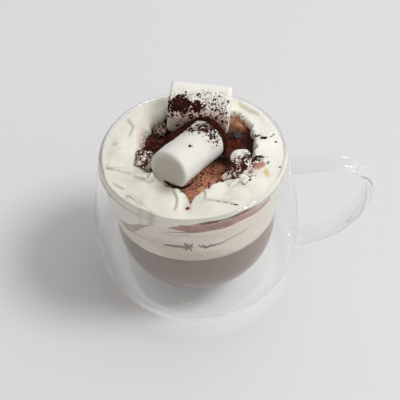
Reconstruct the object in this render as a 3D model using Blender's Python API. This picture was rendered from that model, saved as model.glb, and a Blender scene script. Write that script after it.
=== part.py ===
"""Hot chocolate in a double-walled glass cup with a handle.

The cup's axis is Z and the origin is the middle of its flat base. The handle points along +X, and
the front is the side that faces -Y. Sizes are in millimetres, and angles in degrees run from the
handle, counterclockwise seen from above. MM turns millimetres to metres where a mesh is made.
"""

import math

import bmesh
import bpy
from mathutils import Matrix, Vector

MM = 0.001
GAP = 0.3  # air between two pieces that touch

# Glass cup. A wall's outline is given as (radius, height) on its outer face, from the foot up.
CUP_HEIGHT = 79.0
OUTER_WALL = (
    (28, 0),
    (33, 1.5),
    (38.5, 5.6),
    (43.6, 13),
    (46.8, 22.5),
    (47.9, 33),
    (47.6, 43.5),
    (46.2, 57),
    (44.2, 71),
    (42.9, 78),
)
INNER_WALL = (
    (0, 9),
    (9.5, 9.4),
    (19.4, 11.8),
    (27.8, 17.6),
    (33.6, 26),
    (36.6, 36),
    (37.3, 47),
    (38.6, 57),
    (40.2, 69),
    (40.9, 74.5),
)
OUTER_THICKNESS = 1.7
INNER_THICKNESS = 1.4
RIM_RADIUS = 41.95  # to the middle of the rounded lip
LIP_RADIUS = 0.95
CUP_FACETS = 48
WALL_STEPS = 1  # facets to each stretch of a wall's outline

# Vent in the base, through which the hollow wall was closed, and the plug in it
VENT_PLACE = (-7.2, -21.0)
VENT_RADIUS = 2.2
VENT_FACETS = 16

# Handle: a flat glass band, on a line of (distance from the axis, height) from the upper weld
HANDLE_LINE = (
    (41, 66.8),
    (54, 67.5),
    (66, 67.4),
    (73.6, 65.3),
    (78.9, 60),
    (80.9, 52.3),
    (79.1, 42.6),
    (73.8, 32.8),
    (65.8, 25.4),
    (56.3, 21),
    (42, 17.8),
)
HANDLE_STEPS = 2
HANDLE_WIDTH = 10.6
HANDLE_THICKNESS = 4.8
HANDLE_ROUNDING = 2.6  # a superellipse's power: 2 is an ellipse, more is squarer
HANDLE_FACETS = 14

# Drink, and the layers on it at the wall
DRINK_LEVEL = 47.0
LAYER_FACETS = 60
LAYER_MIDDLE = 72.3
LAYER_HALF = 3.3  # half the brown layer's height at the wall
LAYER_UNDERSIDE = 66.0  # at the axis
DIP = (214, 20, 13.0)  # where the brown layer sags at the wall: angle, spread, depth
PINCH = (246, 14, 2.8)  # where cream closes over it: angle, spread, loss of half height

# Pool of wet cocoa in the middle, and the cream round it. A lobe is (angle, spread, size).
POOL_LEVEL = 73.6
POOL_RADIUS = 24.0
POOL_LOBES = (
    (50, 30, 9.0),
    (105, 22, 8.0),
    (150, 18, 1.5),
    (227, 20, -3.5),
    (265, 6.5, 5.0),
    (293, 11, -3.5),
    (352, 16, 2.5),
)
UNDER_CREAM = (1, 0.66, 0.33, 0)  # rings that the cream and the layer under it share, wall to pool
CREAM_EDGE = 1.2  # height of the cream's inner edge over the pool
CREAM_CREST = 5.4
CREAM_AT_WALL = 4.6
CREAM_FOLDS = (
    (20, 9, -0.9),
    (48, 10, 0.7),
    (78, 9, -0.8),
    (131, 10, -0.8),
    (165, 12, 0.6),
    (192, 8, -0.9),
    (214, 11, 0.9),
    (236, 8, -0.9),
    (260, 7, -1.3),
    (285, 11, 0.7),
    (322, 9, 0.8),
    (345, 8, -0.8),
)

# Marshmallows: middle, direction towards the near end, radius and length
MARSHMALLOW_FACETS = 24
FRONT_MARSHMALLOW = {
    "middle": (-1.9, -4.4, 82.6),
    "axis": (-0.572, -0.798, 0.182),
    "radius": 9.6,
    "length": 33.0,
}
BACK_MARSHMALLOW = {
    "middle": (4.7, 24.9, 83.6),
    "axis": (-0.985, 0.160, 0.070),
    "radius": 10.9,
    "length": 28.0,
}
END_ROUNDING = 3.4
CRUST = {"thickness": 2.0, "towards": (0.35, 0.65, 0.65), "spread": 62.0}  # cocoa caked on the front one

# Small pieces in the cream: middle, half sizes and turn about Z
LUMPS = {
    "cocoa_lump_left": ((-21.9, -1.4, 76.6), (4.5, 5.6, 4.4), 10),
    "cocoa_lump_back": ((-14.0, 18.8, 76.4), (3.2, 3.2, 3.0), 0),
    "cream_curl": ((19.2, -8.4, 76.8), (4.8, 8.4, 4.4), -22),
}
LUMP_FACETS = 14
LUMP_RINGS = 8


def smooth_curve(points, steps):
    """Points on a Catmull-Rom curve through the given ones, with this many steps to a stretch."""
    knots = [Vector(point) for point in points]
    knots = [2 * knots[0] - knots[1], *knots, 2 * knots[-1] - knots[-2]]
    curve = []
    for before, start, end, after in zip(knots, knots[1:], knots[2:], knots[3:]):
        for step in range(steps):
            t = step / steps
            bend = 2 * before - 5 * start + 4 * end - after
            twist = 3 * start - before - 3 * end + after
            curve.append((2 * start + (end - before) * t + bend * t**2 + twist * t**3) / 2)
    return [*curve, knots[-2]]


def inward(outline, distance):
    """The outline moved this far to its left, which is towards the axis on one drawn upwards."""
    moved = []
    for i, point in enumerate(outline):
        along = (outline[min(i + 1, len(outline) - 1)] - outline[max(i - 1, 0)]).normalized()
        moved.append(Vector((max(point.x - distance * along.y, 0), point.y + distance * along.x)))
    return moved


def radius_at(outline, height):
    """The outline's radius at this height, between its points."""
    for low, high in zip(outline, outline[1:]):
        if low.y <= height <= high.y:
            return low.x + (high.x - low.x) * (height - low.y) / (high.y - low.y)
    return outline[-1].x


def bump(angle, centre, spread, size=1.0):
    """A smooth hump of this size round one angle, in degrees."""
    apart = (angle - centre + 180) % 360 - 180
    return size * math.exp(-((apart / spread) ** 2))


def ease(t):
    """Goes from 0 to 1 with no corner at either end."""
    t = min(max(t, 0), 1)
    return t * t * (3 - 2 * t)


def round_ring(radius, height, facets):
    """Points once round the axis."""
    turns = [2 * math.pi * i / facets for i in range(facets)]
    return [(radius * math.cos(turn), radius * math.sin(turn), height) for turn in turns]


def skin(name, rings, hole=False):
    """An object whose skin runs over rings of points: from below, outwards, up and inwards.

    Both ends are closed by a flat fan, or with a hole the last ring joins the first. Each four-sided
    patch is split along its shorter diagonal, so that two skins a gap apart are split alike.
    """
    mesh = bmesh.new()
    loops = [[mesh.verts.new(Vector(point) * MM) for point in ring] for ring in rings]
    pairs = list(zip(loops, loops[1:] + loops[:1] if hole else loops[1:]))
    for low, high in pairs:
        for i in range(len(low)):
            j = (i + 1) % len(low)
            if (low[i].co - high[j].co).length < (low[j].co - high[i].co).length:
                mesh.faces.new((low[i], low[j], high[j]))
                mesh.faces.new((low[i], high[j], high[i]))
            else:
                mesh.faces.new((low[i], low[j], high[i]))
                mesh.faces.new((low[j], high[j], high[i]))
    if not hole:
        for loop, turned in ((loops[0], True), (loops[-1], False)):
            middle = mesh.verts.new(sum((vert.co for vert in loop), Vector()) / len(loop))
            for i in range(len(loop)):
                ends = (loop[i], loop[(i + 1) % len(loop)])
                mesh.faces.new((middle, *(reversed(ends) if turned else ends)))
    data = bpy.data.meshes.new(name)
    mesh.to_mesh(data)
    mesh.free()
    data.shade_smooth()
    obj = bpy.data.objects.new(name, data)
    bpy.context.collection.objects.link(obj)
    return obj


def turned(name, outline, facets=CUP_FACETS):
    """A solid turned about the axis, from an outline that ends near the axis at both ends."""
    return skin(name, [round_ring(point.x, point.y, facets) for point in outline if point.x > 0])


def as_cutter(obj):
    """Hides a shape that only cuts or joins others."""
    obj.hide_render = True
    obj.display_type = "WIRE"
    return obj


def combine(obj, other, operation):
    """Adds a Boolean modifier that keeps the default exact solver."""
    modifier = obj.modifiers.new(f"{operation.lower()} {other.name}", "BOOLEAN")
    modifier.operation = operation
    modifier.object = other


def material(name, colour, roughness, transmission=0.0):
    """A plain finish, with its colour in linear red, green and blue."""
    made = bpy.data.materials.new(name)
    made.use_nodes = True
    shader = made.node_tree.nodes["Principled BSDF"]
    shader.inputs["Base Color"].default_value = (*colour, 1)
    shader.inputs["Roughness"].default_value = roughness
    shader.inputs["Metallic"].default_value = 0
    shader.inputs["Transmission Weight"].default_value = transmission
    made.diffuse_color = (*colour, 1)
    return made


OUTER_FACE = smooth_curve(OUTER_WALL, WALL_STEPS)
INNER_FACE = smooth_curve(INNER_WALL, WALL_STEPS)
BOWL = inward(INNER_FACE, INNER_THICKNESS)  # what the drink touches
FILLING = inward(INNER_FACE, INNER_THICKNESS + GAP)


def filling_radius(height):
    """How far the contents reach at this height, just clear of the glass."""
    return radius_at(FILLING, height)


def glass_cup():
    """Both walls, the lip that joins them and the handle, as the one piece of glass they are."""
    lip = []
    for turn in (0, 60, 120, 180):
        angle = math.radians(turn)
        across = Vector((math.cos(angle), math.sin(angle))) * LIP_RADIUS
        lip.append(Vector((RIM_RADIUS, CUP_HEIGHT - LIP_RADIUS)) + across)
    cup = turned("glass_cup", [*OUTER_FACE[:-1], *lip, *reversed(BOWL)])

    floor_and_side = inward(OUTER_FACE, OUTER_THICKNESS)
    hollow = [point for point in floor_and_side if point.y < INNER_FACE[-1].y - 2]
    tip = Vector((INNER_FACE[-1].x + 0.6, INNER_FACE[-1].y + 1))
    cavity = as_cutter(turned("cavity", [*hollow, tip, *reversed(INNER_FACE)]))
    combine(cup, cavity, "DIFFERENCE")

    shaft = [round_ring(VENT_RADIUS, height, VENT_FACETS) for height in (-1, OUTER_THICKNESS + 1)]
    vent = as_cutter(skin("vent", shaft))
    vent.location = (VENT_PLACE[0] * MM, VENT_PLACE[1] * MM, 0)
    combine(cup, vent, "DIFFERENCE")
    combine(cup, handle_band(), "UNION")
    return cup


def handle_band():
    """The handle's band, cut off half way into the outer wall."""
    line = smooth_curve(HANDLE_LINE, HANDLE_STEPS)
    rings = []
    for i, point in enumerate(line):
        along = (line[min(i + 1, len(line) - 1)] - line[max(i - 1, 0)]).normalized()
        ring = []
        for step in range(HANDLE_FACETS):
            turn = 2 * math.pi * step / HANDLE_FACETS
            across, deep = (
                math.copysign(abs(part) ** (2 / HANDLE_ROUNDING), part)
                for part in (math.cos(turn), math.sin(turn))
            )
            out = deep * HANDLE_THICKNESS / 2
            ring.append((point.x - along.y * out, across * HANDLE_WIDTH / 2, point.y + along.x * out))
        rings.append(ring)
    band = as_cutter(skin("handle_band", rings))
    inside = as_cutter(turned("inside_of_wall", inward(OUTER_FACE, OUTER_THICKNESS / 2)))
    combine(band, inside, "DIFFERENCE")
    return band


def seal_plug():
    """The small plug that closes the vent, flush with the base."""
    heights = (GAP, OUTER_THICKNESS - GAP)
    plug = skin("seal_plug", [round_ring(VENT_RADIUS - GAP, height, VENT_FACETS) for height in heights])
    plug.location = (VENT_PLACE[0] * MM, VENT_PLACE[1] * MM, 0)
    return plug


def pool_edge(angle):
    """The cream's inner edge: its distance from the axis at this angle."""
    return POOL_RADIUS + sum(bump(angle, *lobe) for lobe in POOL_LOBES)


def layer_at_wall(angle):
    """The brown layer's lower and upper edge at the wall."""
    middle = LAYER_MIDDLE - bump(angle, *DIP)
    half = LAYER_HALF - bump(angle, *PINCH)
    return middle - half, middle + half


def layer_underside(angle, out):
    """Height of the brown layer's underside, out being 0 at the axis and 1 at the wall."""
    return LAYER_UNDERSIDE + (layer_at_wall(angle)[0] - LAYER_UNDERSIDE) * out**2


def layer_under_cream(angle, out):
    """A point of the brown layer's top, out being 0 at the pool's edge and 1 at the wall."""
    low, height = pool_edge(angle), layer_at_wall(angle)[1]
    radius = low + out * (filling_radius(height) - low)
    return radius, POOL_LEVEL + (height - POOL_LEVEL) * ease(out)


def cream_top(angle, out):
    """Height of the upper cream, out being 0 at its inner edge and 1 at the wall."""
    rise = math.sin(min(out / 0.45, 1) * math.pi / 2)
    fall = ease((out - 0.5) / 0.5)
    folds = sum(bump(angle, *fold) for fold in CREAM_FOLDS) * rise * (1 - fall)
    height = CREAM_EDGE + (CREAM_CREST - CREAM_EDGE) * rise - (CREAM_CREST - CREAM_AT_WALL) * fall
    return POOL_LEVEL + height + folds


def shaped_ring(place, facets=LAYER_FACETS):
    """Points once round the axis, place giving the radius and the height at each angle."""
    ring = []
    for i in range(facets):
        angle = 360 * i / facets
        radius, height = place(angle)
        turn = math.radians(angle)
        ring.append((radius * math.cos(turn), radius * math.sin(turn), height))
    return ring


def hot_chocolate():
    """The drink, from the bottom of the bowl up to the cream."""
    side = [point for point in FILLING if point.y < DRINK_LEVEL - 1]
    side.append(Vector((filling_radius(DRINK_LEVEL), DRINK_LEVEL)))
    return turned("hot_chocolate", side)


def lower_cream():
    """Milk foam between the drink and the brown layer."""
    floor = DRINK_LEVEL + GAP

    def side(part):
        def place(angle):
            height = floor + part * (layer_at_wall(angle)[0] - GAP - floor)
            return filling_radius(height), height

        return place

    def top(out):
        return lambda angle: (
            out * filling_radius(layer_at_wall(angle)[0] - GAP),
            layer_underside(angle, out) - GAP,
        )

    rings = [shaped_ring(side(part)) for part in (0, 0.5, 1)]
    rings += [shaped_ring(top(out)) for out in (0.8, 0.55, 0.25)]
    return skin("lower_cream", rings)


def chocolate_layer():
    """The thin brown layer, whose middle is the open pool of wet cocoa."""

    def underside(out):
        return lambda angle: (
            out * filling_radius(layer_at_wall(angle)[0]),
            layer_underside(angle, out),
        )

    def under_cream(out):
        return lambda angle: layer_under_cream(angle, out)

    def pool(out):
        return lambda angle: (out * pool_edge(angle), POOL_LEVEL)

    rings = [shaped_ring(underside(out)) for out in (0.25, 0.55, 0.8, 1)]
    rings += [shaped_ring(under_cream(out)) for out in UNDER_CREAM]
    rings += [shaped_ring(pool(out)) for out in (0.65, 0.3)]
    return skin("chocolate_layer", rings)


def top_cream():
    """The folded ring of whipped cream round the pool."""

    def underside(out):
        def place(angle):
            radius, height = layer_under_cream(angle, out)
            return radius, height + GAP

        return place

    def top(out):
        def place(angle):
            height = cream_top(angle, out)
            low, high = pool_edge(angle), filling_radius(height)
            return low + out * (high - low), height

        return place

    rings = [shaped_ring(underside(out)) for out in reversed(UNDER_CREAM)]
    rings += [shaped_ring(top(out)) for out in (1, 0.82, 0.62, 0.45, 0.3, 0.15, 0)]
    return skin("top_cream", rings, hole=True)


def marshmallow(name, piece, grow=0.0, crust=None):
    """A soft cylinder with rounded ends, and a crust of cocoa on the side that crust names."""
    axis = Vector(piece["axis"]).normalized()
    turn = axis.to_track_quat("Z", "Y")
    half = piece["length"] / 2 + grow
    radius = piece["radius"] + grow
    stations = []
    for step in (0, 30, 60, 90):
        bend = math.radians(step)
        inset = END_ROUNDING * (1 - math.sin(bend))
        stations.append((radius - inset, half - END_ROUNDING * (1 - math.cos(bend))))
    stations = [(wide, -high) for wide, high in stations] + stations[::-1]
    rings = []
    for wide, high in stations:
        ring = []
        for x, y, z in round_ring(wide, high, MARSHMALLOW_FACETS):
            out = turn @ Vector((x, y, 0)).normalized()
            if crust:
                off = math.degrees(out.angle(Vector(crust["towards"])))
                far = ease((half * 0.55 - high) / half)
                wide_here = wide + crust["thickness"] * far * math.exp(-((off / crust["spread"]) ** 4))
                x, y = x * wide_here / wide, y * wide_here / wide
            ring.append((x, y, z))
        rings.append(ring)
    obj = skin(name, rings)
    obj.matrix_world = Matrix.Translation(Vector(piece["middle"]) * MM) @ turn.to_matrix().to_4x4()
    return obj


def lump(name, middle, half_sizes, turn, grow=0.0):
    """A small soft piece, an uneven ball pulled to three sizes."""
    rings = []
    for i in range(LUMP_RINGS):
        tilt = math.pi * (i + 0.7) / (LUMP_RINGS + 0.4) - math.pi / 2
        ring = []
        for x, y, z in round_ring(math.cos(tilt), math.sin(tilt), LUMP_FACETS):
            uneven = 1 + 0.05 * math.sin(3.1 * x + 2.3 * y) + 0.04 * math.cos(4.7 * y - 3.3 * z)
            spots = zip((x, y, z), half_sizes)
            ring.append([part * (uneven * half + grow) for part, half in spots])
        rings.append(ring)
    obj = skin(name, rings)
    obj.location = Vector(middle) * MM
    obj.rotation_euler.z = math.radians(turn)
    return obj


def main():
    for obj in list(bpy.data.objects):
        bpy.data.objects.remove(obj)

    glass = material("clear glass", (0.86, 0.89, 0.88), 0.02, 1.0)
    plug = material("clear plug", (0.75, 0.77, 0.76), 0.3, 0.5)
    drink = material("milky chocolate drink", (0.235, 0.165, 0.13), 0.35)
    foam = material("milk foam", (0.66, 0.60, 0.52), 0.6)
    cream = material("whipped cream", (0.80, 0.78, 0.69), 0.5)
    cocoa = material("wet cocoa", (0.085, 0.03, 0.018), 0.55)
    sugar = material("marshmallow", (0.86, 0.85, 0.82), 0.75)
    dusted = material("cocoa dusted cream", (0.36, 0.27, 0.22), 0.8)

    pieces = {
        glass_cup(): glass,
        seal_plug(): plug,
        hot_chocolate(): drink,
        lower_cream(): foam,
    }
    layer = chocolate_layer()
    cream_ring = top_cream()
    pieces[layer] = cocoa
    pieces[cream_ring] = cream
    pieces[marshmallow("marshmallow_front", FRONT_MARSHMALLOW, crust=CRUST)] = sugar
    pieces[marshmallow("marshmallow_back", BACK_MARSHMALLOW)] = sugar
    for name, place in LUMPS.items():
        pieces[lump(name, *place)] = cream if name == "cream_curl" else dusted

    hollows = [
        marshmallow("room_for_front", FRONT_MARSHMALLOW, GAP, CRUST),
        marshmallow("room_for_back", BACK_MARSHMALLOW, GAP),
    ]
    hollows += [lump(f"room_for_{name}", *place, grow=GAP) for name, place in LUMPS.items()]
    for hollow in hollows:
        as_cutter(hollow)
        combine(layer, hollow, "DIFFERENCE")
        combine(cream_ring, hollow, "DIFFERENCE")

    for obj, finish in pieces.items():
        obj.data.materials.append(finish)


main()
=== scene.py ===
"""Hot chocolate in a double-walled glass cup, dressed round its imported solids.

The cup's axis is Z, the handle points along +X and the front faces -Y. Sizes are in millimetres and
angles in degrees from the handle, counterclockwise seen from above. MM turns them to metres.
"""

import math
import random

import bpy
import numpy as np
from mathutils import Matrix, Vector, noise


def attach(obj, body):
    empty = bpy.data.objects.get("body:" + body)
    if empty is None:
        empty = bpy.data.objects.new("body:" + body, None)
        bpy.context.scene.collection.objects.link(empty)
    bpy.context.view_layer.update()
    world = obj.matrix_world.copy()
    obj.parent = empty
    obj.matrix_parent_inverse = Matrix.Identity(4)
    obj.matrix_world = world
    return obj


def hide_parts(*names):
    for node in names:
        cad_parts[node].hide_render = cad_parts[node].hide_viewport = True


MM = 0.001
PER_METRE = 1000  # millimetres, to turn shapes made a metre wide to shares of 1
WELD = 1e-6  # points closer than this, in metres, become one

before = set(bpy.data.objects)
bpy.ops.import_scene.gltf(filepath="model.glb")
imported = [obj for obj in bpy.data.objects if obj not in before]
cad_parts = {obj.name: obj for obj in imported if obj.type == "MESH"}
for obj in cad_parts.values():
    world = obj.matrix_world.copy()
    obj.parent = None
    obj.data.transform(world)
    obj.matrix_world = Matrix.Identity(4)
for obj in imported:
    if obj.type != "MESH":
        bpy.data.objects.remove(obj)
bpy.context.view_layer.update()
bpy.ops.object.select_all(action="DESELECT")

# Glass cup: outlines of (radius, height) on each wall's face that looks away from the drink
CUP_HEIGHT = 79.0
OUTER_WALL = (
    (28, 0), (33, 1.5), (38.5, 5.6), (43.6, 13), (46.8, 22.5), (47.9, 33), (47.6, 43.5), (46.2, 57),
    (44.2, 71), (42.9, 78),
)
INNER_WALL = (
    (0, 9), (9.5, 9.4), (19.4, 11.8), (27.8, 17.6), (33.6, 26), (36.6, 36), (37.3, 47), (38.6, 57),
    (40.2, 69), (40.9, 74.5),
)
OUTER_THICKNESS = 1.7
INNER_THICKNESS = 1.4
HOLLOW_TOP = 72.5  # the hollow between the walls narrows above this height, up to its tip
HOLLOW_TIP = ((41.6, 74.6), (41.7, 75.4), (41.3, 75.4))
RIM_RADIUS = 41.95
LIP_RADIUS = 0.95
VENT_PLACE = (-7.2, -21.0)
VENT_RADIUS = 2.2
HANDLE_LINE = (
    (41, 66.8), (54, 67.5), (66, 67.4), (73.6, 65.3), (78.9, 60), (80.9, 52.3), (79.1, 42.6),
    (73.8, 32.8), (65.8, 25.4), (56.3, 21), (42, 17.8),
)
HANDLE_WIDTH = 10.6
HANDLE_THICKNESS = 4.8
HANDLE_ROUNDING = 2.6
HANDLE_SIDES = 40
HANDLE_STEPS = 8
GLASS_SIDES = 192
GLASS_STEPS = 6
LIP_STEPS = 8
INTO_WALL = 0.2  # how far the drink reaches into the glass, so that no air shows between them

# Contents. A triple is a smooth hump of (angle, spread, size).
DRINK_LEVEL = 47.0
LAYER_MIDDLE = 72.3
LAYER_HALF = 3.3
LAYER_UNDERSIDE = 66.0
DIP = (214, 20, 13.0)
PINCH = (246, 14, 2.8)
CREAM_OVER_RIM = ((208, 16, 0.7), (243, 22, 1.4), (290, 30, 0.6))  # how far the cream lies on the rim
BAND_LOW = ((212, 12, 2.0), (272, 10, 0.6))  # how much further the brown layer shows at the glass
BAND_HIGH = ((212, 12, 2.0), (288, 26, 1.5))
POOL_LEVEL = 73.6
CREAM_CREST = 5.4
CREAM_AT_WALL = 4.6
CREAM_FOLDS = (
    (20, 9, -0.9), (46, 22, -1.7), (78, 9, -0.8), (128, 16, -1.3), (165, 12, 0.6), (192, 8, -0.9),
    (214, 11, 0.9), (236, 8, -0.9), (260, 7, -1.3), (285, 11, 0.7), (322, 9, 0.8), (345, 8, -0.8),
)
# How broad the cream's rounded inner edge is, as (angle, spread, millimetres more)
CREAM_LIPS = ((30, 60, -1.1), (150, 30, 1.4), (200, 20, 1.2))
# The open pool's edge as (angle, distance from the axis)
POOL_EDGE = (
    (0, 27.5), (20, 30), (36, 33), (50, 34), (65, 32.5), (80, 31), (105, 31.5), (119, 29.5), (134, 27.5),
    (150, 25.5), (165, 24.5), (187, 24.2), (206, 22.0), (227, 20.5), (246, 20.9), (253, 21.6),
    (258, 23.5), (262.5, 26.4), (265.5, 29.6), (268, 27.2), (273, 25.2), (282, 23.3), (291, 22.0),
    (299, 20.9), (308, 22.8), (317, 25.4), (335, 25), (351, 27),
)

FRONT_MARSHMALLOW = {
    "middle": (-1.9, -4.4, 82.6), "axis": (-0.572, -0.798, 0.182), "radius": 9.6, "length": 33.0,
    "rounding": 1.3,
    "pushes": (((-15, 2, 84), 4.0, (0.5, -0.5, -0.4)), ((10, 4, 76), 5.0, (0.4, -0.3, 0))),
}
BACK_MARSHMALLOW = {
    "middle": (4.7, 24.9, 83.6), "axis": (-0.985, 0.160, 0.070), "radius": 10.9, "length": 28.0,
    "rounding": 1.5,
    "pushes": (((-9.5, 14.5, 76), 6.0, (-0.8, -1.3, -2.0)), ((18.5, 20, 92), 4.0, (0.3, 0, 0.3))),
}
LEAST_DUST = 0.12  # no crumbs lie where there is less cocoa than this
STREAK_RADIUS = 38.0
WALL_START = 37  # what lies further out on the brown layer is seen through the glass
BUBBLE_LEVEL = 73.95
BUBBLE_FLATNESS = 0.7
CURL_LINE = (
    (17.6, -6.6, 78.0), (18.7, -3.6, 78.9), (21.4, -1.9, 79.4), (24.2, -2.6, 79.2), (26.0, -5.0, 78.4),
)
# The crust lies towards one side of the front marshmallow, and its bare side faces the other way.
CRUST = {"thickness": 2.45, "towards": (-0.61, 0.565, 0.555), "bare_side": (0.0, -0.70, 0.71)}

# Stage: metres for places, degrees for the camera's roll and millimetres for its lens
CAMERA_PLACE = (0, -0.5395, 0.600)
CAMERA_AIM = (0.0021447, 0, 0.0478799)
CAMERA_ROLL = -3.336
CAMERA_LENS = 148.5
LAMP_TOWARDS = (0.55, -0.16, 0.82)
LAMP_DISTANCE = 2.4
LAMP_SIZE = 0.80
LAMP_POWER = 28.6
SURROUND = (0.585, 0.27)  # how bright the surround is low down and overhead
# Where the surround is brighter: direction, narrowness and strength
SURROUND_GLOWS = (((0.80, -0.05, 0.60), 2.5, 0.75), ((0.0, 0.96, 0.28), 3.0, 0.35))
FLOOR_SIZE = 8


def smooth_curve(points, steps):
    """Points on a Catmull-Rom curve through the given ones, with this many steps to a stretch."""
    knots = [Vector(point) for point in points]
    knots = [2 * knots[0] - knots[1], *knots, 2 * knots[-1] - knots[-2]]
    curve = []
    for before, start, end, after in zip(knots, knots[1:], knots[2:], knots[3:]):
        for step in range(steps):
            t = step / steps
            bend = 2 * before - 5 * start + 4 * end - after
            twist = 3 * start - before - 3 * end + after
            curve.append((2 * start + (end - before) * t + bend * t**2 + twist * t**3) / 2)
    return [*curve, knots[-2]]


def run_at(line, i):
    """The direction of a row of points at this one."""
    return (line[min(i + 1, len(line) - 1)] - line[max(i - 1, 0)]).normalized()


def inward(outline, distance):
    """The outline moved this far towards the axis, for one drawn upwards."""
    moved = []
    for i, point in enumerate(outline):
        along = run_at(outline, i)
        moved.append(Vector((max(point.x - distance * along.y, 0), point.y + distance * along.x)))
    return moved


EDGE_CURVE = smooth_curve([*POOL_EDGE, (360, POOL_EDGE[0][1])], 6)
OUTER_FACE = smooth_curve(OUTER_WALL, GLASS_STEPS)
INNER_FACE = smooth_curve(INNER_WALL, GLASS_STEPS)
BOWL = inward(INNER_FACE, INNER_THICKNESS)
FILLING = inward(INNER_FACE, INNER_THICKNESS - INTO_WALL)
LIP_INSIDE = [Vector((RIM_RADIUS - LIP_RADIUS + INTO_WALL, height)) for height in (78, 80)]


# Shapes


def select_only(obj):
    """Makes this the one selected object, and the active one."""
    bpy.ops.object.select_all(action="DESELECT")
    obj.select_set(True)
    bpy.context.view_layer.objects.active = obj


def new_shape(name, add, **settings):
    """A simple shape under this name, made by one of the calls that add a mesh."""
    bpy.ops.object.select_all(action="DESELECT")
    add(**settings)
    obj = bpy.context.object
    obj.name = obj.data.name = name
    return obj


def spun(name, outline, sides=GLASS_SIDES, inside_out=False):
    """A closed shape turned about the cup's axis from a loop of (radius, height)."""
    obj = new_shape(name, bpy.ops.mesh.primitive_circle_add, vertices=len(outline), radius=MM)
    for vert, (radius, height) in zip(obj.data.vertices, outline):
        vert.co = (radius * MM, 0, height * MM)
    bpy.ops.object.mode_set(mode="EDIT")
    bpy.ops.mesh.select_all(action="SELECT")
    bpy.ops.mesh.spin(steps=sides, angle=2 * math.pi, center=(0, 0, 0), axis=(0, 0, 1))
    bpy.ops.mesh.select_all(action="SELECT")
    bpy.ops.mesh.remove_doubles(threshold=WELD)
    bpy.ops.mesh.delete_loose()
    bpy.ops.mesh.select_all(action="SELECT")
    bpy.ops.mesh.normals_make_consistent(inside=inside_out)
    bpy.ops.object.mode_set(mode="OBJECT")
    bpy.ops.object.shade_smooth()
    return obj


def closed_up():
    """Welds the active shape's doubled points and turns its faces outwards."""
    bpy.ops.object.mode_set(mode="EDIT")
    bpy.ops.mesh.select_all(action="SELECT")
    bpy.ops.mesh.remove_doubles(threshold=WELD)
    bpy.ops.mesh.normals_make_consistent(inside=False)
    bpy.ops.object.mode_set(mode="OBJECT")


def new_sheet(name, along, around):
    """A flat grid from -0.5 to 0.5 in metres, with this many parts each way."""
    grid = bpy.ops.mesh.primitive_grid_add
    return new_shape(name, grid, x_subdivisions=along, y_subdivisions=around, size=1)


def sheet_to_tube(name, along, around, place):
    """A sheet rolled into a closed tube: place gives the point at (0 to 1 along, 0 to 1 around)."""
    obj = new_sheet(name, along, around)
    for vert in obj.data.vertices:
        vert.co = Vector(place(vert.co.x + 0.5, vert.co.y + 0.5)) * MM
    bpy.ops.object.mode_set(mode="EDIT")
    bpy.ops.mesh.select_all(action="SELECT")
    bpy.ops.mesh.remove_doubles(threshold=WELD)
    bpy.ops.mesh.select_all(action="DESELECT")
    bpy.ops.mesh.select_non_manifold()
    bpy.ops.mesh.edge_face_add()
    bpy.ops.mesh.select_all(action="SELECT")
    bpy.ops.mesh.normals_make_consistent(inside=False)
    bpy.ops.object.mode_set(mode="OBJECT")
    bpy.ops.object.shade_smooth()
    return obj


def apply_modifier(obj, kind, **settings):
    """Adds a modifier with these settings and applies it."""
    modifier = obj.modifiers.new(kind.title(), kind)
    for name, value in settings.items():
        setattr(modifier, name, value)
    select_only(obj)
    bpy.ops.object.modifier_apply(modifier=modifier.name)


def combine(obj, other, operation):
    """Joins or cuts obj by another shape, which is used up."""
    apply_modifier(obj, "BOOLEAN", operation=operation, object=other)
    bpy.data.objects.remove(other)


def joined(name, objs):
    """One object made of several."""
    bpy.ops.object.select_all(action="DESELECT")
    for obj in objs:
        obj.select_set(True)
    bpy.context.view_layer.objects.active = objs[0]
    bpy.ops.object.join()
    obj = bpy.context.object
    obj.name = obj.data.name = name
    return obj


def points_of(obj):
    """The mesh's points in millimetres, one row each."""
    points = np.empty(len(obj.data.vertices) * 3)
    obj.data.vertices.foreach_get("co", points)
    return points.reshape(-1, 3) / MM


def put_points(obj, points):
    """Moves the mesh's points to these, in millimetres."""
    obj.data.vertices.foreach_set("co", (np.asarray(points) * MM).ravel())
    obj.data.update()


def bumps(angle, lobes):
    """The sum of smooth humps of (angle, spread, size), in degrees."""
    total = 0
    for centre, spread, size in lobes:
        apart = (angle - centre + 180) % 360 - 180
        total = total + size * np.exp(-((apart / spread) ** 2))
    return total


def ease(t):
    """Goes from 0 to 1 with no corner at either end."""
    t = np.clip(t, 0, 1)
    return t * t * (3 - 2 * t)


def uneven(points, size, seed=0):
    """Smooth noise from about -1 to 1 at each point, with lumps of this size in millimetres."""
    shift = Vector((seed * 17.3, seed * 9.1, seed * 5.7))
    return np.array([noise.noise(Vector(point) / size + shift) for point in points])


def round_axis(angle, radius, height):
    """Points at these angles, distances from the cup's axis and heights."""
    turn = np.radians(angle)
    return np.stack([radius * np.cos(turn), radius * np.sin(turn), height], axis=1)


def filling_radius(height):
    """Where the contents end at this height, just inside the glass."""
    side = [point for point in [*FILLING, *LIP_INSIDE] if point.y > 20]
    return np.interp(height, [point.y for point in side], [point.x for point in side])


def pool_edge(angle):
    """The cream's inner edge: its distance from the axis at this angle."""
    edge = np.interp(angle, [knot.x for knot in EDGE_CURVE], [knot.y for knot in EDGE_CURVE], period=360)
    ripple = 0.42 * np.sin(np.radians(angle * 23 + 40)) + 0.34 * np.sin(np.radians(angle * 37))
    return edge + ripple + 0.2 * np.sin(np.radians(angle * 61 + 10))


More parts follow.
